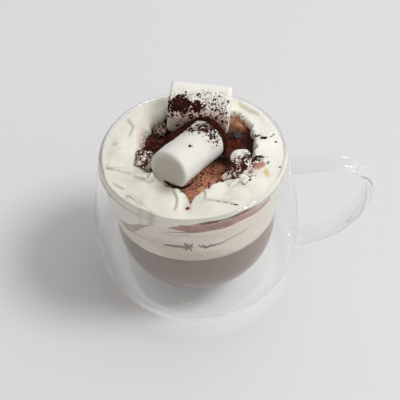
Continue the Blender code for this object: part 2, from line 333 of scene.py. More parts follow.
def layer_at_wall(angle):
    """The brown layer's lower and upper edge at the wall."""
    middle = LAYER_MIDDLE - bumps(angle, [DIP])
    half = LAYER_HALF - bumps(angle, [PINCH])
    waves = 0.25 * np.sin(np.radians(angle * 11)) + 0.2 * np.sin(np.radians(angle * 17 + 50))
    return middle - half + waves - bumps(angle, BAND_LOW), middle + half + waves + bumps(angle, BAND_HIGH)


def along_stroke(points, stroke):
    """How far each point is from a drawn line, signed to its left, and 0 to 1 where the line fades out."""
    knots = np.array(stroke, float)
    best = np.full(len(points), 1e9)
    side = np.zeros(len(points))
    along = np.zeros(len(points))
    lengths = np.linalg.norm(np.diff(knots, axis=0), axis=1)
    before = np.concatenate([[0], np.cumsum(lengths)])
    for i, (start, end) in enumerate(zip(knots, knots[1:])):
        run = (end - start) / lengths[i]
        off = points[:, :2] - start
        t = np.clip(off @ run, 0, lengths[i])
        gap = off - t[:, None] * run
        apart = np.linalg.norm(gap, axis=1)
        closer = apart < best
        best = np.where(closer, apart, best)
        left = np.sign(run[0] * off[:, 1] - run[1] * off[:, 0])
        side = np.where(closer, apart * left, side)
        along = np.where(closer, (before[i] + t) / before[-1], along)
    return side, ease(along / 0.15) * ease((1 - along) / 0.15)


def creased(points, strokes):
    """Height added by folds: each is its line, the groove's width and depth, and the rise to its left."""
    added = np.zeros(len(points))
    for line, width, depth, rise, reach in strokes:
        side, ends = along_stroke(points, line)
        groove = -depth * np.exp(-((side / width) ** 2))
        step = rise * (0.5 + 0.5 * np.tanh(side / width)) * np.exp(-((side / reach) ** 2))
        added += ends * (groove + step)
    return added


def fold_shade(points, strokes):
    """How far down in a fold each point lies, from 0 to 1, which sets the painted shade there."""
    deep = np.zeros(len(points))
    for line, width, depth, _, _ in strokes:
        side, ends = along_stroke(points, line)
        groove = np.exp(-(((side + 0.3 * width) / width) ** 2))
        deep = np.maximum(deep, ends * min(depth / 0.7, 1) * groove)
    return deep


def wobbled(points, amount, size, first_seed):
    """Points shifted by noise, for patches with uneven borders."""
    shifts = [uneven(points, size, first_seed + i) for i in range(3)]
    return points + amount * np.stack(shifts, axis=1)


def outwards(points, middle):
    """The direction from the middle to each point."""
    return (points - middle) / np.linalg.norm(points - middle, axis=1)[:, None]


def pushed(points, pushes):
    """Points moved by soft pushes of (place, reach, move)."""
    for place, reach, move in pushes:
        near = np.exp(-((np.linalg.norm(points - np.array(place), axis=1) / reach) ** 2))
        points = points + near[:, None] * np.array(move)
    return points


# Finishes


def linear(code):
    """A colour written as sRGB hex, in linear red, green and blue."""
    parts = [int(code[i : i + 2], 16) / 255 for i in (1, 3, 5)]
    return tuple(c / 12.92 if c <= 0.04045 else ((c + 0.055) / 1.055) ** 2.4 for c in parts)


def rgba(code):
    """A colour written as sRGB hex, as a solid linear one."""
    return (*linear(code), 1)


def node(tree, kind, links=None, **settings):
    """Adds a node with its settings, and feeds its sockets a value or another node's output."""
    added = tree.nodes.new("ShaderNode" + kind)
    for name, value in settings.items():
        setattr(added, name, value)
    for socket, value in (links or {}).items():
        if isinstance(value, bpy.types.NodeSocket):
            tree.links.new(value, added.inputs[socket])
        else:
            added.inputs[socket].default_value = value
    return added


def maths(tree, operation, *values):
    """Adds a sum of this kind and gives its result."""
    return node(tree, "Math", dict(enumerate(values)), operation=operation).outputs[0]


def ranged(tree, value, start, end, low=0.0, high=1.0):
    """Adds a map of start to end onto low to high and gives its result."""
    return node(tree, "MapRange", {0: value, 1: start, 2: end, 3: low, 4: high}).outputs[0]


def blended(tree, share, first, second):
    """Adds a mix of two colours and gives its result."""
    return node(tree, "Mix", {0: share, 6: first, 7: second}, data_type="RGBA").outputs[2]


def lumpy(tree, place, size, detail=3, **more):
    """Adds noise with lumps of this size in millimetres and gives its result."""
    links = {"Vector": place, "Scale": 1 / (size * MM), "Detail": detail, **more}
    return node(tree, "TexNoise", links).outputs[0]


def new_finish(name):
    """An empty material and its tree."""
    made = bpy.data.materials.new(name)
    made.use_nodes = True
    made.node_tree.nodes.clear()
    return made, made.node_tree


def cup_glass():
    """Borosilicate glass, blown: clear and faintly grey, and light passes it without a hard shadow."""
    made, tree = new_finish("blown_borosilicate_glass")
    place = node(tree, "TexCoord").outputs["Object"]
    draw = node(tree, "TexNoise", {"Vector": place, "Scale": 55, "Detail": 1})
    swell = node(tree, "Bump", {"Height": draw.outputs[0], "Strength": 0.02, "Distance": MM})
    links = {"Base Color": rgba("#FBFCFC"), "Roughness": 0.0, "IOR": 1.47, "Transmission Weight": 1.0}
    shader = node(tree, "BsdfPrincipled", {**links, "Normal": swell.outputs[0]})
    rays = node(tree, "LightPath").outputs
    shaded = blended(tree, rays["Is Shadow Ray"], (1, 1, 1, 1), rgba("#FCFCFC"))
    clear = node(tree, "BsdfTransparent", {"Color": shaded})
    soft = maths(tree, "MAXIMUM", rays["Is Shadow Ray"], rays["Is Diffuse Ray"])
    # Light that runs down inside the wall gets out after a few turns, as it does in the real cup.
    deep = maths(tree, "GREATER_THAN", rays["Ray Depth"], 4.5)
    soft = maths(tree, "MAXIMUM", soft, deep)
    mixed = node(tree, "MixShader", {0: soft, 1: shader.outputs[0], 2: clear.outputs[0]})
    node(tree, "OutputMaterial", {"Surface": mixed.outputs[0]})
    return made


def painted_food(name, roughness, soak=0.0, soak_depth=1.5, grain=0.4, relief=0.2, powder=False, coat=0.0,
                 mottle=0.06, shine=0.5, flecks=()):
    """A food's finish: its painted tint, a fine grain of this size in mm, and cocoa powder if any.

    Each of the flecks is a factor on the tint, its size in mm and the noise level above which it shows.
    """
    made, tree = new_finish(name)
    place = node(tree, "TexCoord").outputs["Object"]
    tint = node(tree, "Attribute", attribute_name="tint").outputs["Color"]
    height = lumpy(tree, place, grain)
    shade = ranged(tree, lumpy(tree, place, 6 * grain, 2), 0.3, 0.7, 1 - mottle, 1 + mottle)
    colour = node(tree, "VectorMath", {0: tint, "Scale": shade}, operation="SCALE").outputs[0]
    if powder:
        cover = node(tree, "Attribute", attribute_name="cocoa").outputs["Fac"]
        where = ranged(tree, cover, 0.0, 0.05)
    for number, (factor, size, least) in enumerate(flecks):
        shift = node(tree, "VectorMath", {0: place, 1: (0.03 * number, 0.01, 0.02)}, operation="ADD")
        shown = ranged(tree, lumpy(tree, shift.outputs[0], size, 2), least, least + 0.06)
        if powder:
            shown = maths(tree, "MULTIPLY", shown, where)
        other = node(tree, "VectorMath", {0: colour, 1: factor}, operation="MULTIPLY")
        colour = blended(tree, shown, colour, other.outputs[0])
    rough = roughness
    if powder:
        # The more cocoa lies at a place, the lower the noise has to be for a speck to show.
        edge = maths(tree, "MULTIPLY_ADD", cover, -0.6, 0.8)
        speck = lumpy(tree, place, 1.2, Roughness=0.6)
        dark = ranged(tree, speck, maths(tree, "SUBTRACT", edge, 0.035), maths(tree, "ADD", edge, 0.035))
        cocoa = blended(tree, lumpy(tree, place, 1.3), rgba("#1A0503"), rgba("#542014"))
        colour = blended(tree, dark, colour, cocoa)
        height = maths(tree, "MULTIPLY_ADD", dark, 0.8, height)
        rough = ranged(tree, dark, 0.0, 1.0, roughness, 0.9)
    bump = node(tree, "Bump", {"Height": height, "Strength": relief, "Distance": 0.4 * MM})
    links = {
        "Base Color": colour, "Roughness": rough, "Specular IOR Level": shine, "Subsurface Weight": soak,
        "Subsurface Radius": (1, 0.8, 0.6), "Subsurface Scale": soak_depth * MM, "Coat Weight": coat,
        "Coat Roughness": 0.12, "Normal": bump.outputs[0],
    }
    shader = node(tree, "BsdfPrincipled", links)
    node(tree, "OutputMaterial", {"Surface": shader.outputs[0]})
    return made


def put_tint(obj, tint):
    """Stores a new tint for each point."""
    layer = obj.data.attributes["tint"]
    layer.data.foreach_set("color", np.column_stack([tint, np.ones(len(tint))]).ravel())


def within(points, middle, radii):
    """How far out each point is in a patch, where 1 is the patch's edge."""
    return np.linalg.norm((points - np.array(middle)) / np.array(radii), axis=1)


def paint(obj, base, patches=(), wobble=0.0):
    """Gives each point its tint: the base colour, then patches of (middle, radii, colour, amount)."""
    points = points_of(obj)
    moved = wobbled(points, wobble, 4.0, 1) if wobble else points
    tint = np.tile(linear(base), (len(points), 1))
    for middle, radii, colour, amount, *sharp in patches:
        off = within(moved, middle, radii)
        share = (amount * np.exp(-(np.minimum(off, 4) ** (sharp[0] if sharp else 3))))[:, None]
        tint = tint * (1 - share) + np.array(linear(colour)) * share
    obj.data.attributes.new("tint", "FLOAT_COLOR", "POINT")
    put_tint(obj, tint)


def tint_of(obj):
    """The piece's tint, one row of linear red, green and blue to a point."""
    values = np.empty(len(obj.data.vertices) * 4)
    obj.data.attributes["tint"].data.foreach_get("color", values)
    return values.reshape(-1, 4)[:, :3]


def dust(obj, patches):
    """Stores how much cocoa lies at each point, from patches of (middle, radii, amount)."""
    points = points_of(obj)
    moved = wobbled(points, 1.0, 3.0, 4)
    cover = np.zeros(len(points))
    for middle, radii, amount in patches:
        off = within(moved, middle, radii)
        cover = np.maximum(cover, amount * np.exp(-(off**3)))
    layer = obj.data.attributes.new("cocoa", "FLOAT", "POINT")
    layer.data.foreach_set("value", np.clip(cover, 0, 1))
    return cover


def dress(obj, finish, slot, *nodes):
    """Gives a piece its finish, hangs it from the root and hides the solids that it stands for."""
    obj.data.materials.clear()
    obj.data.materials.append(finish)
    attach(obj, "root")
    if nodes:
        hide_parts(*nodes)
    return obj


# Pieces


def glass_piece():
    """Both walls, the lip and the handle as one piece of glass, with the vent in its base."""
    lip = []
    for step in range(LIP_STEPS + 1):
        angle = math.radians(180 / LIP_STEPS * step)
        across = Vector((math.cos(angle), math.sin(angle))) * LIP_RADIUS
        lip.append(Vector((RIM_RADIUS, CUP_HEIGHT - LIP_RADIUS)) + across)
    cup = spun("glass_skin", [(0, 0), *OUTER_FACE[:-1], *lip, *reversed(BOWL)])
    hollow = [point for point in inward(OUTER_FACE, OUTER_THICKNESS) if point.y < HOLLOW_TOP]
    hollow = [(0, OUTER_THICKNESS), *hollow, *HOLLOW_TIP, *reversed(INNER_FACE)]
    cavity = spun("glass_hollow", hollow, inside_out=True)
    cup = joined("cup_walls", [cup, cavity])
    vent = new_shape(
        "vent", bpy.ops.mesh.primitive_cylinder_add, vertices=48, radius=VENT_RADIUS * MM, depth=4 * MM,
        location=(VENT_PLACE[0] * MM, VENT_PLACE[1] * MM, 0.4 * MM),
    )
    combine(cup, vent, "DIFFERENCE")
    combine(cup, handle_band(), "UNION")
    select_only(cup)
    bpy.ops.object.shade_smooth_by_angle(angle=math.radians(40))
    return cup


def handle_band():
    """The handle's flat band, which ends inside the outer wall."""
    line = smooth_curve(HANDLE_LINE, HANDLE_STEPS)
    last = len(line) - 1

    def place(along, around):
        i = round(along * last)
        run = run_at(line, i)
        turn = 2 * math.pi * around
        parts = (math.cos(turn), math.sin(turn))
        across, deep = (math.copysign(abs(part) ** (2 / HANDLE_ROUNDING), part) for part in parts)
        out = deep * HANDLE_THICKNESS / 2
        return (line[i].x - run.y * out, across * HANDLE_WIDTH / 2, line[i].y + run.x * out)

    band = sheet_to_tube("handle_band", last, HANDLE_SIDES, place)
    # What would stand inside the outer wall's middle is cut off.
    inside = spun("inside_of_wall", [(0, 5), *inward(OUTER_FACE, OUTER_THICKNESS / 2)[8:], (0, 77)])
    combine(band, inside, "DIFFERENCE")
    return band


def drink_piece():
    """The drink, from the bottom of the bowl up to the foam."""
    side = [point for point in FILLING if point.y < DRINK_LEVEL - 0.5]
    level = DRINK_LEVEL + 0.15
    side.append(Vector((float(filling_radius(level)), level)))
    drink = spun("drink_body", [*side, (20, level), (0, level)], 128)
    paint(drink, "#826B5F", (((0, 0, 47), (60, 60, 4.0), "#735D51", 0.8),))
    return drink


def ring_of_parts(name, loop, place, sides):
    """A shape spun from a loop of (1 + out, part), then laid where place puts each of its points."""
    obj = spun(name, [(PER_METRE * (1 + out), PER_METRE * part) for out, part in loop], sides)
    points = points_of(obj) / PER_METRE
    angle = np.degrees(np.arctan2(points[:, 1], points[:, 0])) % 360
    out = np.hypot(points[:, 0], points[:, 1]) - 1
    radius, height = place(angle, out, points[:, 2])
    put_points(obj, round_axis(angle, radius, height))
    closed_up()
    return obj


def steps_between(start, end, count):
    """Evenly spaced numbers from start up to, and without, end."""
    return [start + (end - start) * i / count for i in range(count)]


def foam_piece():
    """Milk foam from the drink up to the brown layer."""

    def place(angle, out, part):
        top = layer_at_wall(angle)[0]
        edge = DRINK_LEVEL + 0.05 + part * (top + 0.1 - DRINK_LEVEL)
        radius = (1 + out) * filling_radius(edge)
        inner = LAYER_UNDERSIDE + (top - LAYER_UNDERSIDE) * (1 + out) ** 2
        return radius, np.where((part > 0.99) & (out < -0.001), inner + 0.1, edge)

    loop = [(-1, 0), (-0.5, 0)]
    loop += [(0, part) for part in steps_between(0, 1, 24)]
    loop += [(out, 1) for out in (0, -0.1, -0.25, -0.45, -0.75, -1)]
    return ring_of_parts("milk_foam_body", loop, place, 180)


def layer_piece():
    """The brown layer, whose top lies open as a pool of wet cocoa in the middle."""

    def place(angle, out, part):
        out = out + 1
        low, high = layer_at_wall(angle)
        edge = pool_edge(angle)
        under = part < 0.01
        bottom = LAYER_UNDERSIDE + (low - LAYER_UNDERSIDE) * out**2
        wall = low + part * (high - low)
        radius = np.where(under, out * filling_radius(low), filling_radius(wall))
        height = np.where(under, bottom, wall)
        # On the top, out is 0 to 0.5 over the pool and 0.5 to 1 under the cream.
        top = part > 0.99
        reach = filling_radius(high)
        beyond = np.clip(out - 0.5, 0, 0.5) * 2
        inner = np.clip(out * 2, 0, 1)
        over = edge * inner + (reach - edge) * beyond
        radius = np.where(top, over, radius)
        level = POOL_LEVEL + (high - POOL_LEVEL) * ease(beyond)
        height = np.where(top, level, height)
        spots = round_axis(angle, radius, height)
        lumps = 0.5 * uneven(spots, 3.2, 3) + 0.4 * uneven(spots, 1.3, 5)
        swirl = 0.25 * np.sin(0.9 * spots[:, 0] + 2.2 * uneven(spots, 6.0, 8))
        return radius, np.where(top & (beyond < 0.3), height + lumps + 0.5 * swirl, height)

    loop = [(out, 0) for out in (0, 0.25, 0.5, 0.75, 0.9)]
    loop += [(1, part) for part in steps_between(0, 1, 10)]
    loop += [(out, 1) for out in (1, 0.9, 0.8, 0.7, 0.62, 0.56, 0.53)]
    loop += [(0.5 - 0.5 * i / 44, 1) for i in range(45)]
    loop = [(out - 1, part) for out, part in loop]
    return ring_of_parts("wet_cocoa_layer", loop, place, 300)


# Folds of the cream: line of (x, y), groove width, groove depth, rise on the left, reach of the rise
CREASES = (
    (((-40.1, -5.6), (-36.3, -7.4), (-32.2, -8.2)), 0.35, 0.5, 0.5, 3.0),
    (((-31.3, -9.3), (-27.5, -10.8), (-25, -11)), 0.4, 0.3, 0.25, 2.0),
    ((
        (-14.0, -41.0), (-17.7, -38.6), (-20.6, -35.6), (-23.7, -31.4), (-26.5, -26.9), (-29.6, -23.0),
    ), 0.5, 0.7, 1.1, 5.0),
    ((
        (-10.8, -22.5), (-9.5, -24.3), (-8.7, -26.3), (-8.3, -28.5), (-8.5, -31.1), (-9.1, -34),
        (-10, -37),
    ), 0.6, 0.5, 0.7, 2.8),
    ((
        (-22.5, -18.3), (-20.2, -18.0), (-18.2, -17.0), (-17.5, -15.2), (-15.2, -12.3),
    ), 0.4, 0.7, 0.7, 2.0),
    (((-19.2, -10.6), (-18.6, -12.6), (-19.4, -14.6), (-21.2, -16.4)), 0.4, 0.5, 0.6, 1.8),
    (((-27.5, -14.0), (-24.5, -15.6), (-21.6, -16.6)), 0.5, 0.5, 0.5, 2.5),
    (((-31.5, -25.2), (-28.5, -27.6), (-25.6, -31.4), (-23.2, -34.2)), 0.35, 0.5, 0.3, 1.5),
    (((-34.6, -8.0), (-31.0, -9.9), (-27.8, -12.4)), 0.35, 0.4, 0.3, 1.5),
    (((-36.9, -16.7), (-33.4, -19.7), (-31.0, -21.0)), 0.4, 0.4, 0.4, 2.0),
    (((4.1, -31.4), (9.8, -32.2), (13.2, -32.9), (15.9, -33.6), (19.2, -34.5)), 0.35, 0.35, 0.3, 2.0),
    (((3.4, -24.5), (4.4, -27.5), (3.6, -31)), 0.5, 0.4, 0.5, 2.5),
    (((15.2, -24.3), (17.5, -23.3), (20.3, -21.0), (23.5, -19.4)), 0.5, 0.5, 0.8, 3.0),
    (((27.2, -5.0), (28.9, -6.1), (30.7, -6.6), (31.9, -6.3)), 0.6, 0.8, 0.5, 2.0),
    (((30.4, 8.9), (33.3, 7.5), (35.6, 7.8), (38, 9.6)), 0.45, 0.45, 0.5, 3.0),
    (((22, 33), (27, 27.5), (33, 22.5)), 0.7, 0.4, 0.5, 4.0),
    (((-30, 27), (-27, 20), (-29, 12)), 0.8, 0.4, 0.5, 5.0),
)

# Rows of crumbs on the cream: line of (x, y), count, sizes, stray and seed
CRUMB_LINES = (
    (((9.7, -32.1), (10.1, -32.2)), 3, (0.6, 0.9), 0.12, 90),
    (((13.0, -32.8), (13.5, -32.9)), 4, (0.6, 0.9), 0.12, 89),
    (((15.3, -33.4), (17.0, -34.0), (18.8, -34.4)), 12, (0.5, 1.1), 0.15, 91),
    (((32.2, 7.5), (33.2, 7.0), (34.3, 6.9)), 14, (1.0, 2.0), 0.2, 92),
    (((29.3, 10.3), (30.2, 9.8), (31.0, 10.1)), 9, (0.8, 1.5), 0.2, 93),
    (((26.8, 10.2), (27.4, 9.4)), 5, (0.8, 1.4), 0.2, 94),
    (((36.2, 8.2), (38.2, 9.4)), 8, (0.5, 1.1), 0.2, 95),
    (((38.0, 4.2), (38.5, 3.8)), 4, (0.8, 1.2), 0.15, 96),
    (((26.6, -6.2), (28.5, -6.4), (30.4, -7.3)), 20, (0.7, 1.7), 0.3, 97),
    ((
        (20.0, -21.4), (20.3, -18.2), (22.1, -16.7), (24.2, -18.3), (24.9, -20.8), (22.8, -23.0),
        (20.5, -22.6),
    ), 40, (0.4, 0.95), 0.2, 98),
    (((33.0, -9.4), (34.0, -8.5)), 6, (0.5, 0.9), 0.25, 99),
    (((38.8, -11.6), (39.0, -12.4)), 4, (0.7, 1.0), 0.1, 100),
    (((29.0, 14.0), (27.0, 11.0), (26.6, 7.0)), 16, (0.4, 0.9), 0.5, 101),
)

# Small heaps of cream: middle, radius and height
MOUNDS = (
    ((9.5, -23.5), 6.0, 1.1), ((22.3, -20.0), 5.6, 1.5), ((-18.4, -14.6), 3.4, 1.6),
    ((-17.0, -29.0), 9.0, 0.9), ((30.0, 3.0), 6.0, 0.7), ((-33.0, 3.0), 7.0, 0.6),
    ((19.0, -28.0), 6.5, 0.8),
)


def heaped(points):
    """Height added by the small heaps."""
    added = np.zeros(len(points))
    for middle, radius, height in MOUNDS:
        off = np.linalg.norm(points[:, :2] - np.array(middle), axis=1) / radius
        added += height * (1 - ease(off))
    return added


def cream_piece():
    """The whipped ring round the pool, with its folds and creases."""

    def place(angle, out, part):
        edge = pool_edge(angle)
        lip = 2.6 + bumps(angle, CREAM_LIPS)
        rise = np.sqrt(1 - (1 - np.clip(out * (40 - edge) / lip, 0, 1)) ** 2)
        fall = ease((out - 0.5) / 0.5)
        folds = bumps(angle, CREAM_FOLDS) * rise * (1 - fall)
        crest = POOL_LEVEL + 0.2 + (CREAM_CREST - 0.2) * rise - (CREAM_CREST - CREAM_AT_WALL) * fall + folds
        over = bumps(angle, CREAM_OVER_RIM) * (1 + 0.3 * np.sin(np.radians(angle * 13)))
        crest = crest + 0.85 * over * fall
        reach = filling_radius(crest)
        radius = edge + out * (reach - edge) + over * ease((out - 0.9) / 0.1) * part**6
        spots = round_axis(angle, radius, 0 * radius)
        soft = 0.5 * uneven(spots, 9.0, 11) + 0.22 * uneven(spots, 4.0, 12)
        soft = soft + 0.05 * uneven(spots, 1.2, 13)
        near = np.clip(out / 0.12, 0, 1)
        crest = crest + soft * near * (1 - 0.7 * fall) + 1.5 * creased(spots, CREASES) * near
        crest = crest + heaped(spots) * near
        high = layer_at_wall(angle)[1]
        floor = POOL_LEVEL - 0.6 + (high - POOL_LEVEL) * ease(out)
        return radius, floor + part * (crest - floor)

    loop = [(out, 0) for out in steps_between(0, 1, 12)]
    loop += [(1, part) for part in steps_between(0, 1, 6)]
    loop += [(1 - t, 1) for t in steps_between(0, 0.9, 62)]
    loop += [(0.1 * (1 - t) ** 1.6, 1) for t in steps_between(0, 1, 12)]
    loop += [(0, 1 - t) for t in steps_between(0, 1, 4)]
    return ring_of_parts("whipped_ring", loop, place, 480)


def marshmallow_points(piece, along, around):
    """Points of a soft cylinder and their directions, for arrays of 0 to 1 along and around it."""
    axis = Vector(piece["axis"]).normalized()
    turn = np.array(axis.to_track_quat("Z", "Y").to_matrix())
    half = piece["length"] / 2
    rounding = piece["rounding"]
    # The profile runs from the middle of the far end, over its rounded edge, to the near end's middle.
    profile = [(0.0, -half), (piece["radius"] - rounding, -half)]
    for step in range(15, 91, 15):
        bend = math.radians(step)
        inset = rounding * (1 - math.sin(bend))
        profile.append((piece["radius"] - inset, -half + rounding * (1 - math.cos(bend))))
    profile += [(across, -up) for across, up in reversed(profile)]
    profile = np.array(profile)
    lengths = np.concatenate([[0], np.cumsum(np.linalg.norm(np.diff(profile, axis=0), axis=1))])
    wide = np.interp(along * lengths[-1], lengths, profile[:, 0])
    high = np.interp(along * lengths[-1], lengths, profile[:, 1])
    angle = 2 * np.pi * around
    flat = np.stack([np.cos(angle), np.sin(angle), 0 * angle], axis=1) @ turn.T
    base = high[:, None] * turn[:, 2]
    return np.array(piece["middle"]) + base + wide[:, None] * flat, flat, wide, high


def rolled_piece(name, along, around, place):
    """A closed ball or cylinder from a sheet, place giving points for arrays of 0 to 1."""
    obj = new_sheet(name, along, around)
    points = points_of(obj) / PER_METRE
    put_points(obj, place(points[:, 0] + 0.5, points[:, 1] + 0.5))
    closed_up()
    bpy.ops.object.shade_smooth()
    return obj


def marshmallow_piece(name, piece, seed):
    """A marshmallow, slightly dented and swollen as a soft thing is."""

    def place(along, around):
        points = marshmallow_points(piece, along, around)[0]
        out = outwards(points, np.array(piece["middle"]))
        dents = 0.28 * uneven(points, 7.0, seed) + 0.07 * uneven(points, 2.2, seed + 1)
        return pushed(points + out * dents[:, None], piece["pushes"])

    return rolled_piece(name, 110, 120, place)


def crust_piece():
    """Cocoa caked along the front marshmallow's far side, as a rough shell."""

    def place(along, around):
        points, flat, wide, high = marshmallow_points(FRONT_MARSHMALLOW, along, around)
        middle = np.array(FRONT_MARSHMALLOW["middle"])
        half = FRONT_MARSHMALLOW["length"] / 2
        out = outwards(points, middle)
        far_end = ease((-high - 0.8 * half) / (0.15 * half)) * (wide > 0.5)
        bare = flat @ np.array(CRUST["bare_side"])
        side = ease((0.34 - bare) / 0.3) * ease((flat @ np.array(CRUST["towards"]) + 0.05) / 0.4)
        along_it = ease((0.62 * half - high) / (0.5 * half))
        rough = 0.7 * uneven(points, 2.4, 21) + 0.8 * uneven(points, 1.0, 22)
        thick = CRUST["thickness"] * np.maximum(side * along_it, 0.7 * far_end) * (1 + 0.4 * rough) - 0.25
        sunk = middle + 0.9 * (points - middle)
        return np.where(thick[:, None] > 0.1, points + out * thick[:, None], sunk)

    return rolled_piece("cocoa_crust", 120, 150, place)


def lump_piece(name, middle, half_sizes, turn, seed, rough=0.12):
    """A small soft lump: an uneven ball pulled to three sizes."""
    cos, sin = math.cos(math.radians(turn)), math.sin(math.radians(turn))

    def place(along, around):
        tilt = np.pi * (along - 0.5)
        angle = 2 * np.pi * around
        across = np.cos(tilt)
        ball = np.stack([across * np.cos(angle), across * np.sin(angle), np.sin(tilt)], axis=1)
        swell = 1 + rough * uneven(ball * 3, 2.2, seed) + 0.5 * rough * uneven(ball * 3, 0.9, seed + 1)
        ball = ball * np.array(half_sizes) * swell[:, None]
        x = ball[:, 0] * cos - ball[:, 1] * sin
        y = ball[:, 0] * sin + ball[:, 1] * cos
        return np.stack([x, y, ball[:, 2]], axis=1) + np.array(middle)

    return rolled_piece(name, 48, 64, place)


def grain_shapes(count, seed):
    """A few small crumbs of cocoa, each an uneven ball of 20 faces, as arrays of points and faces."""
    draw = random.Random(seed)
    shapes = []
    for _ in range(count):
        ball = new_shape("grain", bpy.ops.mesh.primitive_ico_sphere_add, subdivisions=1, radius=1)
        points = np.array([vert.co for vert in ball.data.vertices])
        faces = np.array([face.vertices for face in ball.data.polygons])
        bpy.data.objects.remove(ball)
        stretch = np.array([draw.uniform(0.8, 1.5), draw.uniform(0.5, 0.9), draw.uniform(0.3, 0.6)])
        uneven_by = np.array([[draw.uniform(0.7, 1.25)] for _ in points])
        shapes.append((points * stretch * uneven_by, faces))
    return shapes


def spread_grains(name, spots, seed):
    """One piece of loose cocoa crumbs, from spots of (place, direction, size in mm)."""
    draw = random.Random(seed)
    shapes = grain_shapes(6, seed)
    points, faces, count = [], [], 0
    for place, out, size in spots:
        shape, sides = shapes[draw.randrange(len(shapes))]
        turn = Vector(out).to_track_quat("Z", "Y").to_matrix()
        spin = Matrix.Rotation(draw.uniform(0, 2 * math.pi), 3, "Z")
        points.append(shape * size / 2 @ np.array(turn @ spin).T + np.array(place))
        faces.append(sides + count)
        count += len(shape)
    data = bpy.data.meshes.new(name)
    data.from_pydata((np.vstack(points) * MM).tolist(), [], np.vstack(faces).tolist())
    obj = bpy.data.objects.new(name, data)
    bpy.context.scene.collection.objects.link(obj)
    return obj


def by_place(points, corners):
    """The triangles turned and sorted by where their corners lie."""
    rank = np.empty(len(points), int)
    rank[np.lexsort(np.round(points, 3).T)] = np.arange(len(points))
    first = rank[corners].argmin(axis=1)[:, None]
    corners = np.take_along_axis(corners, (first + np.arange(3)) % 3, axis=1)
    return corners[np.lexsort(rank[corners].T)]


def dusted_spots(obj, cover, count, sizes, seed, is_spun=False):
    """Places on a piece for this many crumbs, drawn more often where the cocoa is thicker.

    A spun piece's faces don't come in the same order each time, so they are sorted first.
    """
    draw = random.Random(seed)
    obj.data.calc_loop_triangles()
    points = points_of(obj)
    corners = np.array([face.vertices for face in obj.data.loop_triangles])
    if is_spun:
        corners = by_place(points, corners)
    a, b, c = (points[corners[:, i]] for i in range(3))
    normals = np.cross(b - a, c - a)
    areas = np.linalg.norm(normals, axis=1) / 2
    share = cover[corners].mean(axis=1)
    weights = areas * np.where(share > LEAST_DUST, share, 0)
    totals = np.cumsum(weights)
    spots = []
    for _ in range(count):
        i = int(np.searchsorted(totals, draw.uniform(0, totals[-1])))
        u, v = draw.random(), draw.random()
        if u + v > 1:
            u, v = 1 - u, 1 - v
        place = a[i] + u * (b[i] - a[i]) + v * (c[i] - a[i])
        size = sizes[0] + (sizes[1] - sizes[0]) * draw.random() ** 2.5
        out = normals[i] / np.linalg.norm(normals[i])
        spots.append((place + out * 0.1 * size, out, size))
    return spots


def top_at(points, x, y):
    """The one of these points that lies on top at about this place."""
    off = np.hypot(points[:, 0] - x, points[:, 1] - y) - 0.3 * (points[:, 2] - 78)
    return points[int(np.argmin(off))]


def line_of_crumbs(points, line, count, sizes, stray, seed):
    """Crumbs that lie along a line of (x, y), on top of these points."""
    draw = random.Random(seed)
    knots = smooth_curve([(x, y, 0) for x, y in line], 8)
    found = []
    for _ in range(count):
        knot = knots[draw.randrange(len(knots))]
        place = top_at(points, knot.x + draw.gauss(0, stray), knot.y + draw.gauss(0, stray))
        found.append((place, (0, 0, 1), draw.uniform(*sizes)))
    return found


def wall_streaks(name, lines):
    """Thin folds of the foam pressed against the glass: each line's (angle, height) and its width."""
    pieces = []
    for number, (line, width) in enumerate(lines):
        curve = smooth_curve(line, 6)
        last = len(curve) - 1

        def place(along, around, curve=curve, last=last, width=width):
            i = round(along * last)
            run = curve[min(i + 1, last)] - curve[max(i - 1, 0)]
            run = Vector((math.radians(run.x) * STREAK_RADIUS, run.y)).normalized()
            wide = math.sin(2 * math.pi * around) * width / 2
            wide *= 0.25 + 0.75 * math.sin(math.pi * min(max(along, 0.03), 0.97)) ** 0.6
            height = curve[i].y + run.x * wide
            radius = float(filling_radius(height)) + 0.06 + 0.10 * math.cos(2 * math.pi * around)
            angle = math.radians(curve[i].x) - run.y * wide / STREAK_RADIUS
            return radius * math.cos(angle), radius * math.sin(angle), height

        pieces.append(sheet_to_tube(f"{name}_{number}", last, 8, place))
    return joined(name, pieces)


def bubbles(name, groups, seed):
    """Small wet domes of froth on the pool, in groups of (middle, spread, count)."""
    draw = random.Random(seed)
    domes = []
    for (x, y), spread, count in groups:
        for _ in range(count):
            size = draw.uniform(0.22, 0.62)
            spot = (x + draw.gauss(0, spread), y + draw.gauss(0, 0.8 * spread), BUBBLE_LEVEL)
            ball = bpy.ops.mesh.primitive_uv_sphere_add
            dome = new_shape(
                "dome", ball, segments=12, ring_count=6, radius=size * MM, location=Vector(spot) * MM,
            )
            dome.scale.z = BUBBLE_FLATNESS
            bpy.ops.object.transform_apply(location=True, scale=True)
            domes.append(dome)
    domes = joined(name, domes)
    bpy.ops.object.shade_smooth()
    return domes


def curled_edge_piece():
    """The folded cream's curled edge: a fat bent roll, thin at both ends, and the cream under it."""
    line = smooth_curve(CURL_LINE, 8)
    last = len(line) - 1

    def place(along, around):
        i = round(along * last)
        run = run_at(line, i)
        across = run.cross(Vector((0, 0, 1))).normalized()
        up = across.cross(run)
        fat = 1.7 * max(math.sin(math.pi * min(max(along, 0.02), 0.98)), 0.05) ** 0.5
        fat *= 1 + 0.18 * math.sin(9 * along) + 0.08 * math.sin(17 * along + 4 * around)
        turn = 2 * math.pi * around
        return line[i] + across * fat * math.cos(turn) + up * 0.8 * fat * math.sin(turn)

    roll = sheet_to_tube("curled_roll", last, 24, place)
    under = lump_piece("curled_middle", (21.8, -4.6, 77.3), (4.4, 3.4, 3.1), -10, 67, rough=0.3)
    return joined("curled_cream_edge", [roll, under])


